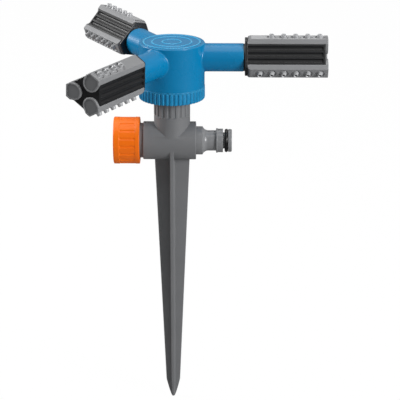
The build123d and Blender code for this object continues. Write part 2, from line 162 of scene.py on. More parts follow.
def maskTree(tree, first, second, given, strength, out):
    # Ends a group in the product of two masks times a given strength, kept within 0 and 1
    product = addNode(tree, "ShaderNodeMath", (2, 1), operation="MULTIPLY")
    link(first, "Result", product, 0)
    link(second, "Fac", product, 1)
    scaled = addNode(tree, "ShaderNodeMath", (3, 1), operation="MULTIPLY", use_clamp=True)
    link(product, "Value", scaled, 0)
    link(given, strength, scaled, 1)
    link(scaled, "Value", out, "Mask")
    return tree


def makeEdgeHighlightAndWear():
    # Mask that is strong along edges, where a lighter tone marks wear and is also a painted edge
    # highlight
    tree, given, out = newGroup(
        "edgeHighlightAndWear", "ShaderNodeTree",
        {"Vector": "Vector", "Reach": 0.0006, "Strength": 1.0},
        {"Mask": "Float"},
    )
    bevel = addNode(tree, "ShaderNodeBevel", (-2, 0), samples=4)
    link(given, "Reach", bevel, "Radius")
    surface = addNode(tree, "ShaderNodeNewGeometry", (-2, 2))
    match = addNode(tree, "ShaderNodeVectorMath", (-1, 1), operation="DOT_PRODUCT")
    link(bevel, "Normal", match, 0)
    link(surface, "Normal", match, 1)
    bend = addNode(
        tree, "ShaderNodeMapRange", (0, 1),
        {"From Min": 0.995, "From Max": 0.90, "To Min": 0.0, "To Max": 1.0},
    )
    link(match, "Value", bend, "Value")
    patches = addNode(tree, "ShaderNodeTexNoise", (0, 3), {"Scale": 220.0, "Detail": 3.0})
    link(given, "Vector", patches, "Vector")
    return maskTree(tree, bend, patches, given, "Strength", out)


def makeSettledDust():
    # Mask of faint dust on faces that look up
    tree, given, out = newGroup(
        "settledDust", "ShaderNodeTree",
        {"Vector": "Vector", "Amount": 0.1},
        {"Mask": "Float"},
    )
    surface = addNode(tree, "ShaderNodeNewGeometry", (-2, 0))
    parts = addNode(tree, "ShaderNodeSeparateXYZ", (-1, 0))
    link(surface, "Normal", parts, "Vector")
    facing = addNode(
        tree, "ShaderNodeMapRange", (0, 0),
        {"From Min": 0.2, "From Max": 1.0, "To Min": 0.0, "To Max": 1.0},
    )
    link(parts, "Z", facing, "Value")
    specks = addNode(
        tree, "ShaderNodeTexNoise", (0, 2), {"Scale": 900.0, "Detail": 5.0, "Roughness": 0.7}
    )
    link(given, "Vector", specks, "Vector")
    return maskTree(tree, facing, specks, given, "Amount", out)


mouldGrain = makeMouldGrain()
edgeHighlightAndWear = makeEdgeHighlightAndWear()
settledDust = makeSettledDust()


def placeGroup(tree, group, place, vector, values):
    node = addNode(tree, "ShaderNodeGroup", place, node_tree=group)
    feed(vector, node, "Vector")
    setInputs(node, values)
    return node


def mixColour(tree, place, factor, first, second):
    # A Mix node has its two colours at sockets 6 and 7, and gives the mixed one at 2
    node = addNode(tree, "ShaderNodeMix", place, data_type="RGBA")
    feed(factor, node, 0)
    for index, colour in ((6, first), (7, second)):
        if isinstance(colour, bpy.types.NodeSocket):
            feed(colour, node, index)
        else:
            node.inputs[index].default_value = colour
    return node.outputs[2]


dustTone = (176, 172, 164)


def startMaterial(name, finish):
    # New material with its shader, Object coordinates and the grain group on them
    material = bpy.data.materials.new(name)
    material.use_nodes = True
    tree = material.node_tree
    where = addNode(tree, "ShaderNodeTexCoord", (-8, 0)).outputs["Object"]
    grain = placeGroup(
        tree, mouldGrain, (-6, 2), where,
        {"Grain per metre": finish["grainPerMetre"], "Drift per metre": finish["driftPerMetre"]},
    )
    return material, tree, tree.nodes["Principled BSDF"], where, grain


def finishSurface(tree, shader, grain, gloss, height, finish):
    # Gloss that drifts with the grain, and a fine relief
    rough = addNode(tree, "ShaderNodeMapRange", (-3, 3), gloss)
    link(grain, "Drift", rough, "Value")
    link(rough, "Result", shader, "Roughness")
    relief = {"Strength": finish["bump"], "Distance": finish["bumpDepth"]}
    bump = addNode(tree, "ShaderNodeBump", (-2, 5), relief)
    feed(height, bump, "Height")
    link(bump, "Normal", shader, "Normal")


def mouldedMaterial(name, finish):
    # One moulded plastic or rubber: base colour with drift, edges lighter for wear and as painted
    # highlight, dust, grain and gloss
    material, tree, shader, where, grain = startMaterial(name, finish)
    plain, deep, highlightAndWearTone = (srgb(*tone) for tone in finish["tones"])
    highlightAndWear = placeGroup(
        tree, edgeHighlightAndWear, (-6, 0), where, {"Reach": finish["highlightAndWearReach"], "Strength": finish["highlightAndWear"]}
    )
    dust = placeGroup(tree, settledDust, (-6, 4), where, {"Amount": finish["dust"]})
    drifted = mixColour(tree, (-4, 0), grain.outputs["Drift"], deep, plain)
    highlitAndWorn = mixColour(tree, (-3, 0), highlightAndWear.outputs["Mask"], drifted, highlightAndWearTone)
    dusty = mixColour(tree, (-2, 0), dust.outputs["Mask"], highlitAndWorn, srgb(*dustTone))
    feed(dusty, shader, "Base Color")
    rough, spread = finish["roughness"], finish["roughnessSpread"]
    gloss = {"From Min": 0.3, "From Max": 0.7, "To Min": rough - spread, "To Max": rough + spread}
    finishSurface(tree, shader, grain, gloss, grain.outputs["Height"], finish)
    shader.inputs["IOR"].default_value = finish["ior"]
    return material


# Tones are the screen colours of the plain, the deep and, on plastic, the edge places, lighter for wear
# and as painted highlight
plainPlastic = {
    "grainPerMetre": 2600.0,
    "driftPerMetre": 45.0,
    "highlightAndWearReach": 0.0005, "highlightAndWear": 0.35,
    "dust": 0.05,
    "roughness": 0.42, "roughnessSpread": 0.04,
    "bump": 0.25, "bumpDepth": 0.00006,
    "ior": 1.5,
}
finishes = {
    # The blue's strong light edge tone is mostly a painted edge highlight, with some wear
    "blueGloss": {
        "tones": ((0, 124, 174), (0, 116, 168), (96, 192, 228)),
        "roughness": 0.27, "bump": 0.12, "ior": 1.4, "highlightAndWear": 0.7, "highlightAndWearReach": 0.0008,
    },
    # Lighter blue for the disc's raised crests: a painted highlight
    "crestHighlightBlue": {
        "tones": ((66, 168, 212), (58, 160, 206), (120, 202, 234)),
        "roughness": 0.27, "bump": 0.08, "ior": 1.4,
    },
    "greyMatte": {
        "tones": ((121, 122, 124), (113, 114, 116), (150, 151, 153)),
        "roughness": 0.52, "bump": 0.5,
    },
    "greyNipple": {
        "tones": ((135, 136, 138), (129, 130, 132), (150, 151, 153)),
        "roughness": 0.27, "bump": 0.1,
    },
    "stripGrey": {
        "tones": ((136, 137, 139), (129, 130, 132), (186, 187, 189)),
        "roughness": 0.36, "bump": 0.2,
    },
    # Darker grey for the recessed end panels: painted shade
    "endPanelShadeGrey": {
        "tones": ((116, 117, 119), (108, 109, 111), (150, 151, 153)),
        "roughness": 0.42, "bump": 0.2,
    },
    # Studs in a glossier grey, lighter than the strip as a painted highlight
    "studGreyWithHighlight": {
        "tones": ((176, 177, 179), (168, 169, 171), (206, 207, 209)),
        "roughness": 0.26, "bump": 0.05,
    },
    # Black plastic of the cores and plates, also used as painted shade in the jet holes
    "blackPlasticAndJetShade": {
        "tones": ((27, 28, 30), (22, 23, 25), (88, 90, 93)),
        "roughness": 0.34, "bump": 0.25, "highlightAndWear": 0.5,
    },
    "capOrange": {
        "tones": ((255, 122, 0), (255, 112, 0), (255, 160, 60)),
        "roughness": 0.42, "bump": 0.15, "ior": 1.38,
    },
    "sealRubber": {
        "tones": ((24, 24, 25), (19, 19, 20), (52, 52, 54)),
        "roughness": 0.30, "bump": 0.1, "highlightAndWear": 0.2,
    },
    "acetalWhite": {
        "tones": ((226, 225, 220), (218, 217, 211), (240, 240, 236)),
        "roughness": 0.38,
    },
}
materials = {name: mouldedMaterial(name, plainPlastic | own) for name, own in finishes.items()}


def metalMaterial(name, finish):
    # Turned or stamped metal: drifted colour with fine rings round the spindle
    material, tree, shader, where, grain = startMaterial(name, finish)
    plain, deep = (srgb(*tone) for tone in finish["tones"])
    shader.inputs["Metallic"].default_value = 1.0
    colour = mixColour(tree, (-3, 0), grain.outputs["Drift"], deep, plain)
    feed(colour, shader, "Base Color")
    rings = addNode(
        tree, "ShaderNodeTexWave", (-5, 3),
        {"Scale": finish["ringsPerMetre"], "Distortion": 1.2, "Detail": 2.0},
        wave_type="RINGS", rings_direction="Z", wave_profile="SIN",
    )
    feed(where, rings, "Vector")
    gloss = {"To Min": finish["roughness"], "To Max": finish["roughness"] + finish["roughnessSpread"]}
    finishSurface(tree, shader, grain, gloss, rings.outputs["Fac"], finish)
    return material


plainMetal = {
    "driftPerMetre": 80.0,
    "roughnessSpread": 0.12,
    "bump": 0.3, "bumpDepth": 0.00003,
}
metalFinishes = {
    "nutBrass": {
        "tones": ((214, 178, 104), (196, 158, 88)),
        "grainPerMetre": 1800.0, "ringsPerMetre": 900.0, "roughness": 0.24,
    },
    "washerSteel": {
        "tones": ((196, 197, 200), (180, 181, 185)),
        "grainPerMetre": 2200.0, "ringsPerMetre": 1200.0, "roughness": 0.22,
    },
}
for name, own in metalFinishes.items():
    materials[name] = metalMaterial(name, plainMetal | own)
print("materials made:", len(materials))


# Geometry Nodes trees for what repeats

def finishedTree(tree, given, geometry, out):
    # Real geometry with its material, because the export drops instances
    solid = addNode(tree, "GeometryNodeRealizeInstances", (3, 0))
    feed(geometry, solid, "Geometry")
    finish = addNode(tree, "GeometryNodeSetMaterial", (4, 0))
    link(solid, "Geometry", finish, "Geometry")
    link(given, "Finish", finish, "Material")
    link(finish, "Geometry", out, "Piece")
    return tree


def makeRepeatTree(name, inputs, buildPlaces):
    # Copies the incoming piece onto the points that buildPlaces gives, then sets its material
    tree, given, out = newGroup(
        name, "GeometryNodeTree",
        {"Piece": "Geometry", **inputs, "Finish": "Material"},
        {"Piece": "Geometry"},
    )
    points, rotation = buildPlaces(tree, given)
    copies = addNode(tree, "GeometryNodeInstanceOnPoints", (2, 0))
    feed(points, copies, "Points")
    link(given, "Piece", copies, "Instance")
    if rotation is not None:
        feed(rotation, copies, "Rotation")
    return finishedTree(tree, given, copies.outputs["Instances"], out)


def placesRound(tree, given):
    # Points all at the axis, each turned one step further about local Z
    line = addNode(tree, "GeometryNodeMeshLine", (-2, 0), mode="OFFSET")
    line.inputs["Offset"].default_value = (0, 0, 0)
    link(given, "Count", line, "Count")
    index = addNode(tree, "GeometryNodeInputIndex", (-3, 2))
    share = addNode(tree, "ShaderNodeMath", (-2, 2), operation="DIVIDE")
    link(index, "Index", share, 0)
    link(given, "Count", share, 1)
    angle = addNode(tree, "ShaderNodeMath", (-1, 2), operation="MULTIPLY_ADD")
    angle.inputs[1].default_value = math.tau
    link(share, "Value", angle, 0)
    link(given, "First angle", angle, 2)
    turn = addNode(tree, "ShaderNodeCombineXYZ", (0, 2))
    link(angle, "Value", turn, "Z")
    return line.outputs["Mesh"], turn.outputs["Vector"]


def placesInRow(tree, given):
    # Points in a straight row, from the first place on, one step apart
    line = addNode(tree, "GeometryNodeMeshLine", (-1, 0), mode="OFFSET")
    link(given, "Count", line, "Count")
    link(given, "First place", line, "Start Location")
    link(given, "Step", line, "Offset")
    return line.outputs["Mesh"], None


repeatRound = makeRepeatTree("repeatRound", {"Count": 12, "First angle": 0.0}, placesRound)
repeatInRow = makeRepeatTree(
    "repeatInRow", {"Count": 5, "First place": (0.0, 0.0, 0.0), "Step": (0.0, 0.0, 8.0)}, placesInRow
)

threadSteps = 72  # round one turn of the helix
toothCorners = 4


def makeThreadTree():
    # Sweeps a four-cornered tooth along a helix round local Z
    tree, given, out = newGroup(
        "threadTurns", "GeometryNodeTree",
        {
            "Piece": "Geometry",
            "Root radius": 12.0,
            "Tooth size": 0.9,
            "Pitch": 1.814,
            "Turns": 6.0,
            "Finish": "Material",
        },
        {"Piece": "Geometry"},
    )
    helix = addNode(tree, "GeometryNodeCurveSpiral", (0, 0))
    helix.inputs["Resolution"].default_value = threadSteps
    rise = addNode(tree, "ShaderNodeMath", (-1, 1), operation="MULTIPLY")
    link(given, "Pitch", rise, 0)
    link(given, "Turns", rise, 1)
    link(given, "Turns", helix, "Rotations")
    link(given, "Root radius", helix, "Start Radius")
    link(given, "Root radius", helix, "End Radius")
    link(rise, "Value", helix, "Height")
    upright = addNode(tree, "GeometryNodeSetCurveNormal", (1, 0), mode="Z_UP")
    link(helix, "Curve", upright, "Curve")
    tooth = addNode(tree, "GeometryNodeCurvePrimitiveCircle", (0, 3), mode="RADIUS")
    tooth.inputs["Resolution"].default_value = toothCorners
    link(given, "Tooth size", tooth, "Radius")
    sweep = addNode(tree, "GeometryNodeCurveToMesh", (2, 0))
    sweep.inputs["Fill Caps"].default_value = True
    link(upright, "Curve", sweep, "Curve")
    link(tooth, "Curve", sweep, "Profile Curve")
    return finishedTree(tree, given, sweep.outputs["Mesh"], out)


threadTurns = makeThreadTree()
print("geometry trees made")


# Mesh helpers: local shapes in millimetres
cornerShare = 0.49  # of an edge that a rounded corner may take up
onAxis = 1e-6  # radius below which a turned point closes on the axis
flatWeight = 60  # how strongly large faces set the normals round them


def addObject(name, data):
    piece = bpy.data.objects.new(name, data)
    bpy.context.scene.collection.objects.link(piece)
    return piece


def fromBmesh(name, shape):
    bmesh.ops.recalc_face_normals(shape, faces=shape.faces)
    mesh = bpy.data.meshes.new(name)
    shape.to_mesh(mesh)
    shape.free()
    return addObject(name, mesh)


def frozen(piece):
    # The piece with its modifiers worked out as one plain mesh
    bpy.context.view_layer.update()
    seen = piece.evaluated_get(bpy.context.evaluated_depsgraph_get())
    mesh = bpy.data.meshes.new_from_object(seen)
    piece.modifiers.clear()
    old = piece.data
    piece.data = mesh
    bpy.data.meshes.remove(old)
    mesh.name = piece.name
    return piece


def withTree(piece, tree, values):
    modifier = piece.modifiers.new(tree.name, "NODES")
    modifier.node_group = tree
    sockets = {item.name: item.identifier for item in tree.interface.items_tree if item.in_out == "INPUT"}
    for name, value in values.items():
        modifier[sockets[name]] = value
    return frozen(piece)


def combine(piece, other, operation):
    # Exact boolean of two closed shapes; the second is used up
    modifier = piece.modifiers.new("combine", "BOOLEAN")
    modifier.operation = operation
    modifier.solver = "EXACT"
    modifier.use_self = True
    modifier.object = other
    frozen(piece)
    remove(other)
    return piece


def remove(piece):
    mesh = piece.data
    bpy.data.objects.remove(piece)
    bpy.data.meshes.remove(mesh)


def joined(piece, *others):
    # One mesh that holds all the shapes, each of them left closed
    shape = bmesh.new()
    for part in (piece, *others):
        shape.from_mesh(part.data)
    shape.to_mesh(piece.data)
    shape.free()
    for other in others:
        remove(other)
    return piece


def between(start, end, share):
    return start + (end - start) * share


def quarterTurns(steps):
    return [math.pi / 2 * step / steps for step in range(steps + 1)]


def circleAt(radius, level, steps):
    angles = [math.tau * step / steps for step in range(steps)]
    return [(radius * math.cos(angle), radius * math.sin(angle), level) for angle in angles]


def atLevel(outline, level):
    return [(point.x, point.y, level) for point in outline]


def rounded(points, steps=4):
    # Polygon with its corners rounded: each point is (x, y, corner radius)
    outline = []
    count = len(points)
    for index, (x, y, radius) in enumerate(points):
        corner = Vector((x, y))
        if radius <= 0:
            outline.append(corner)
            continue
        before = Vector(points[index - 1][:2]) - corner
        after = Vector(points[(index + 1) % count][:2]) - corner
        half = before.angle(after) / 2
        reach = min(radius / math.tan(half), before.length * cornerShare, after.length * cornerShare)
        radius = reach * math.tan(half)
        inward = (before.normalized() + after.normalized()).normalized()
        centre = corner + inward * (radius / math.sin(half))
        first = corner + before.normalized() * reach - centre
        last = corner + after.normalized() * reach - centre
        sweep = first.angle_signed(last)
        for step in range(steps + 1):
            turn = Matrix.Rotation(-sweep * step / steps, 2)
            outline.append(centre + turn @ first)
    return outline


def lathe(name, profile, steps=128, cornerSteps=4):
    # Turned piece round local Z from a closed profile of (radius, height, corner radius)
    outline = rounded(profile, cornerSteps)
    shape = bmesh.new()
    rings = []
    for radius, height in outline:
        if radius < onAxis:
            rings.append([shape.verts.new((0, 0, height))] * steps)
        else:
            rings.append([shape.verts.new(point) for point in circleAt(radius, height, steps)])
    for index, ring in enumerate(rings):
        previous = rings[index - 1]
        for step in range(steps):
            after = (step + 1) % steps
            corners = [previous[step], previous[after], ring[after], ring[step]]
            kept = [vert for place, vert in enumerate(corners) if vert not in corners[:place]]
            if len(kept) > 2:
                shape.faces.new(kept)
    return fromBmesh(name, shape)


def loft(name, sections):
    # Closed skin over sections that all have the same number of points
    shape = bmesh.new()
    rings = [[shape.verts.new(point) for point in section] for section in sections]
    count = len(rings[0])
    for before, after in zip(rings, rings[1:]):
        for step in range(count):
            following = (step + 1) % count
            shape.faces.new((before[step], before[following], after[following], after[step]))
    shape.faces.new(rings[0][::-1])
    shape.faces.new(rings[-1])
    return fromBmesh(name, shape)


def finishPiece(piece, place, finish, body, nodes, smoothAngle=32.0):
    # Puts the shape in its place in metres, smooths its round faces and hands it to the frame
    piece.data.transform(Matrix.Scale(mm, 4) @ place)
    piece.data.shade_smooth()
    piece.data.set_sharp_from_angle(angle=math.radians(smoothAngle))
    flatFaces = piece.modifiers.new("flatFaces", "WEIGHTED_NORMAL")
    flatFaces.keep_sharp = True
    flatFaces.weight = flatWeight
    frozen(piece)
    piece.data.materials.clear()
    piece.data.materials.append(materials[finish])
    for polygon in piece.data.polygons:
        polygon.material_index = 0
    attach(piece, body)
    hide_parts(*nodes)
    return piece


# Spike, tee, neck and threaded outlet, as one moulding
spikeSizes = {
    "webTop": 2.8, "webLow": 2.2, "webTip": 1.0,
    "halfTop": 12.4, "halfLow": 4.8, "halfTip": 0.75,
    "pointLength": 13.5, "pointFullness": 0.75, "pointSteps": 14,
    "straightSteps": 16,
    "edgeRound": 0.45, "edgeShare": 0.3,
    "rootRound": 0.7,
    "barrelRadius": 12.9, "barrelLeft": 19.5, "barrelRight": 16.2,
    "reliefRadius": 11.8, "reliefEnd": 22.7,
    "neckRadius": 12.2, "neckSink": 2.0,
    "threadRoot": 12.2, "threadDepth": 0.88, "threadPitch": 1.814, "threadTurns": 6.2,
    "threadLead": 1.0,
    "outletBore": 8.6, "outletBoreDepth": 18.0,
    "cornerRound": 0.45,
}


def webOutline(half, web):
    # Cross of two webs, round at its outer edges and at its roots
    edge = min(spikeSizes["edgeRound"], web * spikeSizes["edgeShare"])
    root = spikeSizes["rootRound"]
    rib = web / 2
    quarter = [(half, rib, edge), (rib, rib, root), (rib, half, edge)]
    points = []
    for turn in range(4):
        for x, y, radius in quarter:
            for _ in range(turn):
                x, y = -y, x
            points.append((x, y, radius))
    return rounded(points, 3)


def makeSpike():
    s = spikeSizes
    tip = low("spike_body").z
    axisLevel = teeCentre.z
    shoulder = tip + s["pointLength"]
    levels = []
    for step in range(s["straightSteps"]):
        share = step / s["straightSteps"]
        half = between(s["halfTop"], s["halfLow"], share)
        web = between(s["webTop"], s["webLow"], share)
        levels.append((between(axisLevel, shoulder, share), half, web))
    for step in range(s["pointSteps"] + 1):
        left = 1 - step / s["pointSteps"]
        half = between(s["halfTip"], s["halfLow"], left ** s["pointFullness"])
        levels.append((tip + s["pointLength"] * left, half, between(s["webTip"], s["webLow"], left)))
    webs = loft("spikeBody", [atLevel(webOutline(half, web), level) for level, half, web in levels])

    outletEnd = low("spike_body").x
    barrel = lathe("barrel", [
        (0, outletEnd + s["outletBoreDepth"], 0),
        (s["outletBore"], outletEnd + s["outletBoreDepth"], 0),
        (s["outletBore"], outletEnd, 0.4),
        (s["threadRoot"], outletEnd, 0.6),
        (s["threadRoot"], -s["reliefEnd"], 0),
        (s["reliefRadius"], -s["reliefEnd"], 0.3),
        (s["reliefRadius"], -s["barrelLeft"], 0.3),
        (s["barrelRadius"], -s["barrelLeft"], s["cornerRound"]),
        (s["barrelRadius"], s["barrelRight"], s["cornerRound"]),
        (0, s["barrelRight"], 0),
    ], 144)
    barrel.data.transform(barrelFrame)
    neckTop = high("spike_body").z
    neck = lathe("neck", [
        (0, axisLevel - s["neckSink"], 0),
        (s["neckRadius"], axisLevel - s["neckSink"], 0),
        (s["neckRadius"], neckTop, 0.15),
        (0, neckTop, 0),
    ], 144)
    combine(barrel, neck, "UNION")
    combine(webs, barrel, "UNION")

    thread = addObject("outletThread", bpy.data.meshes.new("outletThread"))
    withTree(thread, threadTurns, {
        "Root radius": s["threadRoot"],
        "Tooth size": s["threadDepth"],
        "Pitch": s["threadPitch"],
        "Turns": s["threadTurns"],
        "Finish": materials["greyMatte"],
    })
    thread.data.transform(barrelFrame @ Matrix.Translation((0, 0, outletEnd + s["threadLead"])))
    joined(webs, thread)
    finishPiece(webs, verticalFrame, "greyMatte", "base", ["spike_body"])


makeSpike()
print("spike and tee made")


# Hose nipple with its O-ring, turned about the barrel's axis
nippleSizes = {
    "shoulderRadius": 9.6, "shoulderEnd": 20.6,
    "waistStart": 24.5, "waistRadius": 6.9,
    "stopRadius": 8.3, "stopStart": 29.8,
    "flangeStart": 30.9, "flangeRadius": 8.0,
    "grooveStart": 34.5, "grooveRadius": 5.5,
    "landStart": 38.0, "landRadius": 7.7,
    "bore": 4.2, "boreDepth": 16.0,
    "tail": 1.0, "tailTaper": 0.5, "tailGap": 0.02,
    "waistSteps": 12,
    "ringSteps": 20,
}


def makeNipple():
    s = nippleSizes
    end = high("inlet_nipple").x
    start = spikeSizes["barrelRight"] - s["tail"]
    rise = s["shoulderRadius"] - s["waistRadius"]
    run = s["waistStart"] - s["shoulderEnd"]
    sweep = (run * run + rise * rise) / (2 * rise)
    waist = []
    for step in range(s["waistSteps"] + 1):
        along = s["waistStart"] - run * step / s["waistSteps"]
        dip = math.sqrt(sweep * sweep - (s["waistStart"] - along) ** 2)
        waist.append((s["waistRadius"] + sweep - dip, along, 0))
    profile = [
        (0, end - s["boreDepth"], 0),
        (s["bore"], end - s["boreDepth"], 0),
        (s["bore"], end, 0.5),
        (s["landRadius"], end, 0.7),
        (s["landRadius"], s["landStart"], 0.15),
        (s["grooveRadius"], s["landStart"], 0.2),
        (s["grooveRadius"], s["grooveStart"], 0.2),
        (s["flangeRadius"], s["grooveStart"], 0.2),
        (s["flangeRadius"], s["flangeStart"], 0.1),
        (s["stopRadius"], s["flangeStart"], 0.2),
        (s["stopRadius"], s["stopStart"], 0.3),
        (s["waistRadius"], s["stopStart"], 0.35),
    ] + waist + [
        (s["shoulderRadius"], spikeSizes["barrelRight"] + s["tailGap"], 0),
        (s["shoulderRadius"] - s["tailTaper"], start, 0),
        (0, start, 0),
    ]
    nipple = lathe("inletNipple", profile, 128)
    finishPiece(nipple, barrelFrame, "greyNipple", "base", ["inlet_nipple"])


def makeNippleRing():
    # O-ring from the radius and length of its CAD solid
    first, last = low("nipple_o_ring"), high("nipple_o_ring")
    half = (last.x - first.x) / 2
    reach = last.z - teeCentre.z - half
    middle = (first.x + last.x) / 2
    profile = [(reach + x, middle + y, 0) for x, y, _ in circleAt(half, 0, nippleSizes["ringSteps"])]
    ring = lathe("nippleRing", profile, 96)
    finishPiece(ring, barrelFrame, "sealRubber", "base", ["nipple_o_ring"])


makeNipple()
makeNippleRing()
print("nipple made")


# Cap on the series outlet
capSizes = {
    "radius": 15.95,
    "bandRadius": 15.8,
    "innerRim": 2.8,
    "outerRim": 3.9,
    "mouthRadius": 13.28,
    "wall": 2.0,
    "edgeRound": 0.9,
    "grooves": 18,
    "grooveRadius": 1.4, "grooveDepth": 0.45, "grooveMargin": 0.2, "grooveRound": 1.0,
    "slope": 0.15,
    "dishRadius": 11.6, "dishDepth": 0.5, "dishFlare": 0.6,
    "gateRadius": 1.3,
}


def makeCap():
    s = capSizes
    end = low("end_cap").x
    mouth = high("end_cap").x
    dish = end + s["dishDepth"]
    bandStart = end + s["outerRim"]
    bandEnd = mouth - s["innerRim"]
    cap = lathe("endCap", [
        (0, dish - s["slope"], 0),
        (s["gateRadius"], dish - s["slope"], 0.1),
        (s["gateRadius"] + s["slope"], dish, 0),
        (s["dishRadius"], dish, 0.4),
        (s["dishRadius"] + s["dishFlare"], end, 0.3),
        (s["radius"], end, s["edgeRound"]),
        (s["radius"], bandStart, 0.2),
        (s["bandRadius"], bandStart + s["slope"], 0.2),
        (s["bandRadius"], bandEnd - s["slope"], 0.2),
        (s["radius"], bandEnd, 0.2),
        (s["radius"], mouth, 0.5),
        (s["mouthRadius"], mouth, 0.35),
        (s["mouthRadius"], end + s["wall"], 0.3),
        (0, end + s["wall"], 0),
    ], 144)
    start = bandStart + s["grooveMargin"]
    stop = bandEnd - s["grooveMargin"]
    groove = lathe("capGroove", [
        (0, start, 0),
        (s["grooveRadius"], start, s["grooveRound"]),
        (s["grooveRadius"], stop, s["grooveRound"]),
        (0, stop, 0),
    ], 40)
    reach = s["bandRadius"] - s["grooveDepth"] + s["grooveRadius"]
    groove.data.transform(Matrix.Translation((reach, 0, 0)))
    withTree(groove, repeatRound, {
        "Count": s["grooves"],
        "First angle": math.pi / s["grooves"],
        "Finish": materials["capOrange"],
    })
    combine(cap, groove, "DIFFERENCE")
    finishPiece(cap, barrelFrame, "capOrange", "cap", ["end_cap"])


makeCap()
print("cap made")


# Spindle with its ribbed collar, and the shape of a rib
spindleSizes = {
    "radius": 12.2,
    "rootRadius": 11.7,
    "tubeRadius": 6.0, "tubeBore": 4.2,
    "ribs": 20,
    "ribWidth": 2.1, "ribStart": 0.9, "ribRun": 0.3, "ribOverlap": 0.1,
    "bandRound": 0.2, "bandInset": 0.05, "bandHeight": 0.45, "bandFoot": 0.7,
    "cone": 1.0,
    "lift": 0.01,
}
ribSizes = {
    "sunk": 0.4,
    "skin": 0.02,
    "slope": 0.55,
    "crestRound": 0.3,
    "roundShare": 0.6,
    "earlyRun": 0.35, "earlyHeight": 0.75,
}


def addRibs(piece, sizes, bottom, top, finish):
    # Upright ribs all round a turned piece, each with a rounded crest that runs out at both ends
    s = ribSizes
    root = sizes["rootRadius"]
    crest = sizes["radius"] - root
    half = sizes["ribWidth"] / 2
    crestHalf = half - crest * s["slope"]
    run = sizes["ribRun"]
    early = run * s["earlyRun"]
    levels = [(bottom, 0.0), (bottom + early, s["earlyHeight"]), (bottom + run, 1.0),
              (top - run, 1.0), (top - early, s["earlyHeight"]), (top, 0.0)]
    sections = []
    for level, share in levels:
        height = crest * share + s["skin"]
        corner = min(s["crestRound"], height * s["roundShare"])
        outline = rounded([
            (root - s["sunk"], -half, 0),
            (root - s["sunk"], half, 0),
            (root, half, 0),
            (root + height, crestHalf, corner),
            (root + height, -crestHalf, corner),
            (root, -half, 0),
        ], 3)
        sections.append(atLevel(outline, level))
    rib = loft(piece.name + "Rib", sections)
    withTree(rib, repeatRound, {"Count": sizes["ribs"], "First angle": 0.0, "Finish": materials[finish]})
    joined(piece, rib)


def makeSpindle():
    s = spindleSizes
    collarBottom = high("spike_body").z
    collarTop = low("lower_washer").z
    tubeTop = high("spindle").z
    ribFoot = collarBottom + s["ribStart"]
    band = s["radius"] - s["bandInset"]
    collar = lathe("spindleCollar", [
        (s["tubeBore"], collarBottom + s["cone"], 0),
        (s["radius"] - s["cone"], collarBottom + s["lift"], 0),
        (s["radius"], collarBottom + s["lift"], s["bandRound"]),
        (s["radius"], ribFoot, 0.15),
        (s["rootRadius"], ribFoot + s["ribRun"], 0.1),
        (s["rootRadius"], collarTop - s["bandFoot"], 0.1),
        (band, collarTop - s["bandHeight"], 0.1),
        (band, collarTop, 0.2),
        (s["tubeRadius"], collarTop, 0.2),
        (s["tubeRadius"], tubeTop, 0.4),
        (s["tubeBore"], tubeTop, 0.3),
    ], 144)
    addRibs(collar, s, ribFoot - s["ribOverlap"], collarTop - s["ribRun"], "greyMatte")
    finishPiece(collar, verticalFrame, "greyMatte", "base", ["spindle"])


makeSpindle()
print("spindle made")


# Base ring of the head, knurled for the hand
ringSizes = {
    "radius": 22.2,
    "rootRadius": 21.7,
    "bore": 8.2,
    "topBand": 0.7, "bandSlope": 0.25,
    "lowerRound": 1.0,
    "lift": 0.02,
    "ribs": 48,
    "ribWidth": 1.75, "ribRun": 0.9, "ribLift": 0.15, "ribOverlap": 0.1,
}


def makeBaseRing():
    s = ringSizes
    bottom = low("base_ring").z
    top = low("head_shell").z
    band = top - s["topBand"]
    ring = lathe("baseRing", [
        (s["bore"], bottom + s["lift"], 0.2),
        (s["rootRadius"], bottom + s["lift"], s["lowerRound"]),
        (s["rootRadius"], band - s["bandSlope"], 0.1),
        (s["radius"], band, 0.15),
        (s["radius"], top, 0.2),
        (s["bore"], top, 0),
    ], 192)
    addRibs(ring, s, bottom + s["ribLift"], band + s["ribOverlap"], "blueGloss")
    finishPiece(ring, verticalFrame, "blueGloss", "rotor", ["base_ring"])


makeBaseRing()


# Head shell: drum with a seat for the disc, and three arms that flare into it
headSizes = {
    "drumRadius": 22.0,
    "topRound": 0.7,
    "seatRadius": 19.7,
    "skirtRise": 1.0, "skirtInner": 1.5, "skirtEdge": 1.2,
    "armRadius": 9.45, "armRootRound": 1.1, "armEndRound": 0.4, "armInside": 6.0,
    "armSkin": 0.04, "armSteps": 96, "armRings": 10,
}


def armShape(name, reach):
    # Tube along local Z whose root flares out to meet the drum round its whole edge
    s = headSizes
    flare = s["armRootRound"]
    endRound = s["armEndRound"]
    stations = [(-s["armInside"], flare)]
    for angle in quarterTurns(6):
        stations.append((flare * (1 - math.cos(angle)) - s["armSkin"], flare * (1 - math.sin(angle))))
    sections = []
    for offset, extra in stations:
        sections.append([
            (x, y, math.sqrt(s["drumRadius"] ** 2 - y ** 2) + offset)
            for x, y, _ in circleAt(s["armRadius"] + extra, 0, s["armSteps"])
        ])
    first = s["drumRadius"] + flare
    last = reach - endRound
    for step in range(1, s["armRings"] + 1):
        level = first + (last - first) * step / s["armRings"]
        sections.append(circleAt(s["armRadius"], level, s["armSteps"]))
    for angle in quarterTurns(3)[1:]:
        radius = s["armRadius"] - endRound * (1 - math.cos(angle))
        sections.append(circleAt(radius, last + endRound * math.sin(angle), s["armSteps"]))
    return loft(name, sections)


armLevel = joints["right_bar_turn"]["pos_m"][2] / mm
armReach = low("right_arm_seal").x


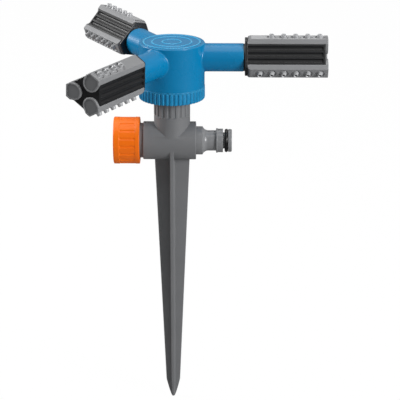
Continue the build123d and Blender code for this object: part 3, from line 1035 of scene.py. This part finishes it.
def makeHead():
    s = headSizes
    bottom = low("head_shell").z
    top = high("head_shell").z
    seat = low("top_disc").z
    drum = lathe("headShell", [
        (0, bottom + s["skirtRise"], 0),
        (s["drumRadius"] - s["skirtInner"], bottom + s["skirtRise"], 0),
        (s["drumRadius"] - s["skirtEdge"], bottom, 0.1),
        (s["drumRadius"], bottom, 0.25),
        (s["drumRadius"], top, s["topRound"]),
        (s["seatRadius"], top, 0.2),
        (s["seatRadius"], seat, 0),
        (0, seat, 0),
    ], 192)
    for side in sides:
        outward = joints[side + "_bar_turn"]["axis"]
        arm = armShape(side + "Arm", armReach)
        arm.data.transform(axisFrame((0, 0, armLevel), outward, up))
        combine(drum, arm, "UNION")
    finishPiece(drum, verticalFrame, "blueGloss", "rotor", ["head_shell"], 28)


makeHead()


# Disc in the head's top, with its raised rim and two ripples
discSizes = {
    "radius": 19.6,
    "rimWidth": 1.3, "rimHeight": 0.5,
    "ripples": (13.3, 6.3),
    "crestLevel": 0.24,
    "rippleHalf": 0.65, "rippleHeight": 0.4, "rippleFoot": 0.5, "rippleSteps": 12,
    "sideGap": 0.01, "sideDrop": 0.05,
}


def makeDisc():
    s = discSizes
    bottom = low("top_disc").z
    level = high("head_shell").z
    crests = [(radius, s["rippleHalf"], s["rippleHeight"]) for radius in s["ripples"]]
    crests.append((s["radius"] - s["rimWidth"] / 2, s["rimWidth"] / 2, s["rimHeight"]))
    profile = [(0, bottom, 0), (s["radius"], bottom, 0), (s["radius"], level - s["sideDrop"], 0)]
    for radius, half, height in sorted(crests, reverse=True):
        foot = half + s["rippleFoot"]
        for step in range(s["rippleSteps"] + 1):
            place = 1 - 2 * step / s["rippleSteps"]
            swell = height * 0.5 * (1 + math.cos(math.pi * place)) if abs(place) < 1 else 0
            profile.append((min(radius + foot * place, s["radius"] - s["sideGap"]), level + swell, 0))
    profile.append((0, level, 0))
    disc = lathe("topDisc", profile, 160)
    finishPiece(disc, verticalFrame, "blueGloss", "rotor", ["top_disc"], 40)
    # Faces above the crest level take the lighter blue, a painted highlight along the rim and ripples
    disc.data.materials.append(materials["crestHighlightBlue"])
    for polygon in disc.data.polygons:
        if polygon.center.z / mm > s["crestLevel"] + level:
            polygon.material_index = 1


makeDisc()
print("head made")


# Spray bars: a fluted core, a collar plate and three nozzle strips on each arm
barTurns = {"right": 4.0, "back": 12.0, "front": -32.0}
nozzleRows = {"right": (5, 6, 4), "back": (5, 4, 6), "front": (4, 5, 6)}
barSizes = {
    "coreInradius": 10.1, "coreFaceHalf": 6.9, "coreEndRound": 0.4,
    "fluteWidth": 3.0, "fluteDepth": 1.1, "flutePitch": 4.2,
    "flutes": 3,
    "fluteEnd": 1.6, "fluteRunOut": 0.9, "fluteSteps": 10, "fluteSquareness": 4,
    "coreStartRound": 0.15,
    "lipDepth": 0.5, "lipLean": 0.1,
    "plateInradius": 9.95, "plateCorner": 13.0, "plateCornerRound": 1.2, "plateEdgeRound": 0.3,
    "slotRadius": 4.25, "slotHeight": 8.6, "slotSteps": 16,
}
stripSizes = {
    "faceHeight": 14.3,
    "inradius": 10.6,
    "faceHalfAlong": 6.9,
    "lip": 0.9,
    "channelHeight": 8.6, "channelRadius": 4.2, "channelSteps": 18,
    "blockHeight": 8.4, "blockRadius": 5.6, "blockLength": 1.6, "blockRound": 0.5,
    "blockLip": (0.3, 0.6),
    "endRim": 0.55, "endRecess": 0.35,
    "cornerRound": 0.5,
    "startRound": 0.25,
    "endDrop": 1.6, "endDropShare": 0.9, "endRun": 2.4,
    "lastNozzle": 5.6,
    "nozzlePitch": 8.0,
    "panelTouch": 0.02,
    "panelArea": 1e-5,  # square metres
}
nozzleSizes = {
    "dimpleRadius": 3.1, "dimpleDepth": 0.7, "dimpleDraft": 0.1, "dimpleLip": 0.25,
    "dimpleEdge": 0.2, "dimpleTop": 1.0,
    "studBase": 2.0, "studTip": 1.5, "studHeight": 2.7, "studFoot": 0.2, "studSink": 0.3,
    "cupRim": 0.25, "cupDepth": 0.7,
    "jet": 0.75, "jetMargin": 0.01,
    "studMargin": 0.1,
}
cornerTurn = 120  # degrees from one corner of a bar to the next
cornerCos = math.cos(math.radians(cornerTurn / 2))
cornerSin = math.sin(math.radians(cornerTurn / 2))


def flankPoint(inradius, along):
    return Vector((inradius * cornerCos + along * cornerSin, inradius * cornerSin - along * cornerCos))


def arcPoints(centre, radius, steps):
    # Half circle that bulges towards the bar's axis, from +Y round to -Y
    points = []
    for step in range(steps + 1):
        angle = math.pi * (0.5 + step / steps)
        points.append(Vector((centre + radius * math.cos(angle), radius * math.sin(angle))))
    return points


def inset(outline, amount):
    # The outline moved inwards by an amount, corner by corner
    area = 0
    for index, point in enumerate(outline):
        area += outline[index - 1].x * point.y - outline[index - 1].y * point.x
    sign = 1 if area > 0 else -1
    moved = []
    for index, point in enumerate(outline):
        before = (point - outline[index - 1]).normalized()
        after = (outline[(index + 1) % len(outline)] - point).normalized()
        inward = Vector((-before.y - after.y, before.x + after.x)).normalized()
        spread = max(0.5, Vector((-before.y, before.x)).dot(inward))
        moved.append(point + inward * (amount * sign / spread))
    return moved


def roundedEnd(outline, radius, level, direction):
    # Sections that close a bar in a rounded edge, from the full outline to the end
    sections = []
    for angle in quarterTurns(4):
        place = level - direction * radius * (1 - math.sin(angle))
        sections.append(atLevel(inset(outline, radius * (1 - math.cos(angle))), place))
    return sections


def stripOutline(drop=0.0, block=False, shrink=0.0):
    # A channel under a flat nozzle face, or the wider block that ends it
    s = stripSizes
    height = s["faceHeight"] - drop - shrink
    inradius = s["inradius"] - shrink
    faceHalf = (inradius - height * cornerCos) / cornerSin
    flank = flankPoint(inradius, s["faceHalfAlong"])
    centre = s["blockHeight" if block else "channelHeight"]
    radius = s["blockRadius" if block else "channelRadius"] - shrink
    if block:
        lip = [Vector((centre + (flank.x - centre) * share, radius)) for share in s["blockLip"]]
    else:
        under = flankPoint(inradius - s["lip"], s["faceHalfAlong"])
        lip = [Vector((under.x, radius)), under]
    half = [(centre, radius, 0)] + [(point.x, point.y, 0) for point in lip]
    half += [(flank.x, flank.y, s["cornerRound"]), (height, faceHalf, s["cornerRound"])]
    mirrored = [(x, -y, corner) for x, y, corner in reversed(half)]
    return rounded(half + mirrored, 4) + arcPoints(centre, radius, s["channelSteps"])[1:-1][::-1]


def roundedBlock(radius, level):
    # Sections that close a strip's end block in a rounded edge
    sections = []
    for angle in quarterTurns(4):
        outline = stripOutline(block=True, shrink=radius * (1 - math.cos(angle)))
        sections.append(atLevel(outline, level - radius * (1 - math.sin(angle))))
    return sections


def makeStrip(side, count, place):
    s = stripSizes
    n = nozzleSizes
    start = low("right_bar_core").x
    end = high("right_strip_5").x
    sections = [atLevel(stripOutline(s["endDrop"], shrink=s["startRound"]), start)]
    for angle in quarterTurns(8):
        run = between(s["startRound"], s["endRun"], 1 - math.cos(angle))
        drop = s["endDrop"] * (1 - math.sin(angle)) * s["endDropShare"]
        sections.append(atLevel(stripOutline(drop), start + run))
    blockStart = end - s["blockLength"]
    sections += [atLevel(stripOutline(), blockStart), atLevel(stripOutline(block=True), blockStart)]
    sections += roundedBlock(s["blockRound"], end)
    panel = stripOutline(block=True, shrink=s["blockRound"] + s["endRim"])
    sections += [atLevel(panel, end), atLevel(panel, end - s["endRecess"])]
    strip = loft(f"{side}Strip{count}", sections)

    face = axisFrame((s["faceHeight"], 0, 0), (1, 0, 0), (0, 0, 1))
    row = {
        "Count": count,
        "First place": (0, 0, end - s["lastNozzle"]),
        "Step": (0, 0, -s["nozzlePitch"]),
        "Finish": materials["stripGrey"],
    }
    floor = -n["dimpleDepth"]
    lip = n["dimpleRadius"] + n["dimpleLip"]
    dimple = lathe("dimple", [
        (0, floor, 0),
        (n["dimpleRadius"] - n["dimpleDraft"], floor, 0.3),
        (n["dimpleRadius"], -n["dimpleEdge"], 0.3),
        (lip, 0.02, 0.1),
        (lip, n["dimpleTop"], 0),
        (0, n["dimpleTop"], 0),
    ], 40, 3)
    dimple.data.transform(face)
    withTree(dimple, repeatInRow, row)
    combine(strip, dimple, "DIFFERENCE")
    top = floor + n["studHeight"]
    stud = lathe("stud", [
        (0, floor - n["studSink"], 0),
        (n["studBase"] + 0.5, floor - n["studSink"], 0),
        (n["studBase"] + 0.25, floor + 0.02, 0.3),
        (n["studBase"] - 0.05, floor + n["studFoot"], 0.3),
        (n["studTip"], top, 0.15),
        (n["studTip"] - n["cupRim"], top, 0.08),
        (n["jet"], top - n["cupDepth"], 0),
        (n["jet"], floor - 0.25, 0),
        (0, floor - 0.25, 0),
    ], 32, 3)
    stud.data.transform(face)
    withTree(stud, repeatInRow, row)
    joined(strip, stud)
    finishPiece(strip, place, "stripGrey", f"{side}_bar", [f"{side}_strip_{count}"])
    # Extra slots: painted shade on the end panels, painted highlight on the studs, painted shade in the
    # jets
    for finish in ("endPanelShadeGrey", "studGreyWithHighlight", "blackPlasticAndJetShade"):
        strip.data.materials.append(materials[finish])
    back = (Matrix.Scale(mm, 4) @ place).inverted()
    for polygon in strip.data.polygons:
        centre = back @ polygon.center
        # The recessed end panel takes the darker grey as painted shade
        recessed = abs(centre.z - end + s["endRecess"]) < s["panelTouch"]
        if recessed and polygon.area > s["panelArea"]:
            polygon.material_index = 1
        elif centre.x > s["faceHeight"] - n["dimpleDepth"] + n["studMargin"]:
            past = (end - s["lastNozzle"] - centre.z) / s["nozzlePitch"]
            aside = math.hypot((past - round(past)) * s["nozzlePitch"], centre.y)
            # Jet holes take the black as painted shade
            if aside < n["jet"] + n["jetMargin"]:
                polygon.material_index = 3
            # Studs take the lighter grey as a painted highlight
            elif aside < n["studBase"] + n["studMargin"] and -0.5 < past < count - 0.5:
                polygon.material_index = 2


def coreOutline(fluteShare):
    # Blunt triangle with a slot at each corner and flutes along each flank
    b = barSizes
    points = []
    for corner in range(3):
        turn = Matrix.Rotation(math.radians(cornerTurn * corner), 2)
        outer = flankPoint(b["coreInradius"], b["coreFaceHalf"])
        inner = flankPoint(b["coreInradius"] - b["lipDepth"], b["coreFaceHalf"] - b["lipLean"])
        local = [Vector((outer.x, -outer.y)), Vector((inner.x, -inner.y))]
        local.append(Vector((inner.x, -b["slotRadius"])))
        local += arcPoints(b["slotHeight"], b["slotRadius"], b["slotSteps"])[::-1]
        local += [Vector((inner.x, b["slotRadius"])), Vector((inner.x, inner.y)), outer]
        points += [turn @ point for point in local]
        flank = Matrix.Rotation(math.radians(cornerTurn * (corner + 0.5)), 2)
        half = b["fluteWidth"] / 2
        middle = (b["flutes"] - 1) / 2
        for flute in range(b["flutes"]):
            centre = (flute - middle) * b["flutePitch"]
            for step in range(b["fluteSteps"] + 1):
                place = -1 + 2 * step / b["fluteSteps"]
                depth = b["fluteDepth"] * fluteShare * (1 - abs(place) ** b["fluteSquareness"])
                points.append(flank @ Vector((b["coreInradius"] - depth, centre + half * place)))
    return points


def makeCore(side, place):
    b = barSizes
    start = low("right_bar_core").x
    end = high("right_bar_core").x
    fluteEnd = end - b["fluteEnd"]
    fluted = coreOutline(1)
    startRound = b["coreStartRound"]
    sections = [atLevel(inset(fluted, startRound), start), atLevel(fluted, start + startRound)]
    for angle in quarterTurns(6):
        level = fluteEnd - b["fluteRunOut"] * (1 - math.sin(angle))
        sections.append(atLevel(coreOutline(math.cos(angle)), level))
    sections += roundedEnd(coreOutline(0), b["coreEndRound"], end, 1)
    core = loft(f"{side}Core", sections)
    finishPiece(core, place, "blackPlasticAndJetShade", f"{side}_bar", [f"{side}_bar_core"])


def makePlate(side, place):
    b = barSizes
    points = []
    for corner in range(3):
        turn = Matrix.Rotation(math.radians(cornerTurn * corner), 2)
        across = (b["plateInradius"] - b["plateCorner"] * cornerCos) / cornerSin
        for y in (-across, across):
            point = turn @ Vector((b["plateCorner"], y))
            points.append((point.x, point.y, b["plateCornerRound"]))
    outline = rounded(points, 5)
    start = low("right_bar_plate").x
    end = high("right_bar_plate").x
    edge = b["plateEdgeRound"]
    sections = roundedEnd(outline, edge, start, -1)[::-1] + roundedEnd(outline, edge, end, 1)
    plate = loft(f"{side}Plate", sections)
    finishPiece(plate, place, "blackPlasticAndJetShade", f"{side}_bar", [f"{side}_bar_plate"])


def barFrame(side, corner=0):
    # Local Z runs out along the arm, local X points to one of the bar's three corners
    outward = Vector(joints[side + "_bar_turn"]["axis"])
    turn = Matrix.Rotation(math.radians(barTurns[side] + cornerTurn * corner), 3, outward)
    return axisFrame((0, 0, armLevel), outward, turn @ up)


for side in sides:
    makeCore(side, barFrame(side))
    makePlate(side, barFrame(side))
    for corner, count in enumerate(nozzleRows[side]):
        makeStrip(side, count, barFrame(side, corner))
    print(side, "bar made")


# CAD nodes that stay as they are, with their finishes
keptFinishes = {
    "sealRubber": ("spindle_gasket", "head_o_ring", "spindle_seal", "cap_gasket",
                   "right_arm_seal", "back_arm_seal", "front_arm_seal"),
    "acetalWhite": ("lower_washer", "spindle_bush"),
    "washerSteel": ("thrust_washer",),
    "nutBrass": ("spindle_nut",),
}
for finish, nodes in keptFinishes.items():
    for node in nodes:
        keptMaterials = frame["nodes"][node].data.materials
        keptMaterials.clear()
        keptMaterials.append(materials[finish])
print("CAD nodes finished")


# Camera as fitted to the photograph
cameraSizes = {
    "distance": 1300.0,
    "elevation": 19.17,
    "yaw": -0.7,
    "target": (18.89, 0.0, -12.88),
    "focalPixels": 1894.39,
    "imageWidth": 400,
    "sensor": 36.0,
    "clip": (0.01, 50),
}


def lookAlong(thing, sight):
    thing.rotation_mode = "QUATERNION"
    thing.rotation_quaternion = sight.to_track_quat("-Z", "Y")


def makeCamera():
    s = cameraSizes
    data = bpy.data.cameras.new("camera")
    data.sensor_width = s["sensor"]
    data.lens = s["focalPixels"] * s["sensor"] / s["imageWidth"]
    data.clip_start, data.clip_end = s["clip"]
    camera = addObject("camera", data)
    elevation = math.radians(s["elevation"])
    yaw = math.radians(s["yaw"])
    sight = Vector((
        math.sin(yaw) * math.cos(elevation),
        math.cos(yaw) * math.cos(elevation),
        -math.sin(elevation),
    ))
    camera.location = (Vector(s["target"]) - sight * s["distance"]) * mm
    lookAlong(camera, sight)
    bpy.context.scene.camera = camera


makeCamera()


# Pale floor and soft studio light
studioSizes = {
    "floorHalf": 6.0, "floorGap": 0.0004, "floorGlow": 0.98,
    "floorColour": (0.9, 0.9, 0.9, 1.0), "floorBounce": (0.42, 0.42, 0.42, 1.0),
    "floorShine": (0.12, 0.12, 0.12, 1.0),
    "worldLevel": 0.16, "worldGloss": 0.32,
    "lampTargetRise": 0.06,
    "lamps": {
        "keyLamp": {"from": (1.05, -0.85, 0.45), "size": 0.6, "power": 17.0},
        "sideLamp": {"from": (-1.2, 0.35, 0.5), "size": 0.6, "power": 16.0},
        "topLamp": {"from": (0.0, 0.1, 1.3), "size": 1.6, "power": 12.0},
    },
}


def makeFloor():
    s = studioSizes
    level = cadBounds[0].z - s["floorGap"]
    half = s["floorHalf"]
    mesh = bpy.data.meshes.new("floor")
    corners = [(-half, -half, level), (half, -half, level), (half, half, level), (-half, half, level)]
    mesh.from_pydata(corners, [], [(0, 1, 2, 3)])
    floor = addObject("floor", mesh)
    material = bpy.data.materials.new("paleFloor")
    material.use_nodes = True
    tree = material.node_tree
    tree.nodes.clear()
    paper = addNode(tree, "ShaderNodeBsdfDiffuse", (0, 0))
    glow = addNode(tree, "ShaderNodeEmission", (0, 1))
    path = addNode(tree, "ShaderNodeLightPath", (-2, 2))
    seen = mixColour(tree, (-1, 0), path.outputs["Is Camera Ray"], s["floorBounce"], s["floorColour"])
    seen = mixColour(tree, (0, -1), path.outputs["Is Glossy Ray"], seen, s["floorShine"])
    feed(seen, paper, "Color")
    glowShare = addNode(tree, "ShaderNodeMath", (-1, 2), operation="MULTIPLY")
    glowShare.inputs[1].default_value = s["floorGlow"]
    link(path, "Is Camera Ray", glowShare, 0)
    mix = addNode(tree, "ShaderNodeMixShader", (1, 0))
    link(glowShare, "Value", mix, "Fac")
    link(paper, "BSDF", mix, 1)
    link(glow, "Emission", mix, 2)
    out = addNode(tree, "ShaderNodeOutputMaterial", (2, 0))
    link(mix, "Shader", out, "Surface")
    mesh.materials.append(material)


def makeWorld():
    world = bpy.data.worlds.new("studio")
    world.use_nodes = True
    tree = world.node_tree
    background = tree.nodes["Background"]
    background.inputs["Color"].default_value = (1, 1, 1, 1)
    path = addNode(tree, "ShaderNodeLightPath", (-3, 0))
    glossy = addNode(
        tree, "ShaderNodeMapRange", (-2, 1),
        {"To Min": studioSizes["worldLevel"], "To Max": studioSizes["worldGloss"]},
    )
    link(path, "Is Glossy Ray", glossy, "Value")
    strength = addNode(tree, "ShaderNodeMapRange", (-1, 0), {"To Max": 1.0})
    link(path, "Is Camera Ray", strength, "Value")
    link(glossy, "Result", strength, "To Min")
    link(strength, "Result", background, "Strength")
    bpy.context.scene.world = world


def makeLamps():
    target = Vector(cameraSizes["target"]) * mm + up * studioSizes["lampTargetRise"]
    for name, lamp in studioSizes["lamps"].items():
        data = bpy.data.lights.new(name, "AREA")
        data.shape = "DISK"
        data.size = lamp["size"]
        data.energy = lamp["power"]
        light = addObject(name, data)
        light.location = target + Vector(lamp["from"])
        lookAlong(light, -Vector(lamp["from"]))


makeFloor()
makeWorld()
makeLamps()
bpy.context.scene.view_settings.view_transform = "Standard"
print("studio made")
